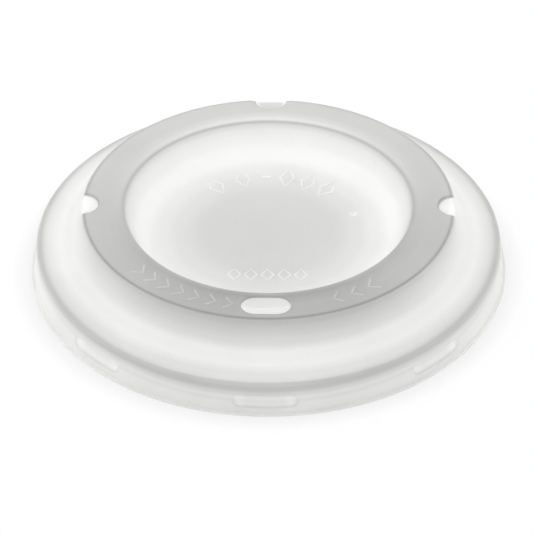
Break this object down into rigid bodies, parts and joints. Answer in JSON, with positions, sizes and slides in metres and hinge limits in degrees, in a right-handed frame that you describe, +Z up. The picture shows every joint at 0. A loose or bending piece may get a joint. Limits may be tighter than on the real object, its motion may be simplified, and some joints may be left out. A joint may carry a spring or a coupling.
{
  "type": "mug lid",
  "caption": "Round press-on sip lid formed from thin white sheet, with a raised drinking ring, a sip slot, a dished bowl and snap lugs in its skirt.",
  "frame": {"origin": "centre of the lid on the plane of the lip's underside, which is the plane it rests on", "axes": "+Z up out of the drinking ring, -Y towards the sip slot, which is the drinker's side, and +X to the right as the slot is faced"},
  "size_m": [0.09, 0.09, 0.0142],
  "materials": {
    "sheet_plastic": "frosted white vacuum-formed sheet with a soft satin gloss, slightly translucent"
  },
  "bodies": {
    "root": {"sip_lid": "sheet_plastic"}
  },
  "joints": []
}
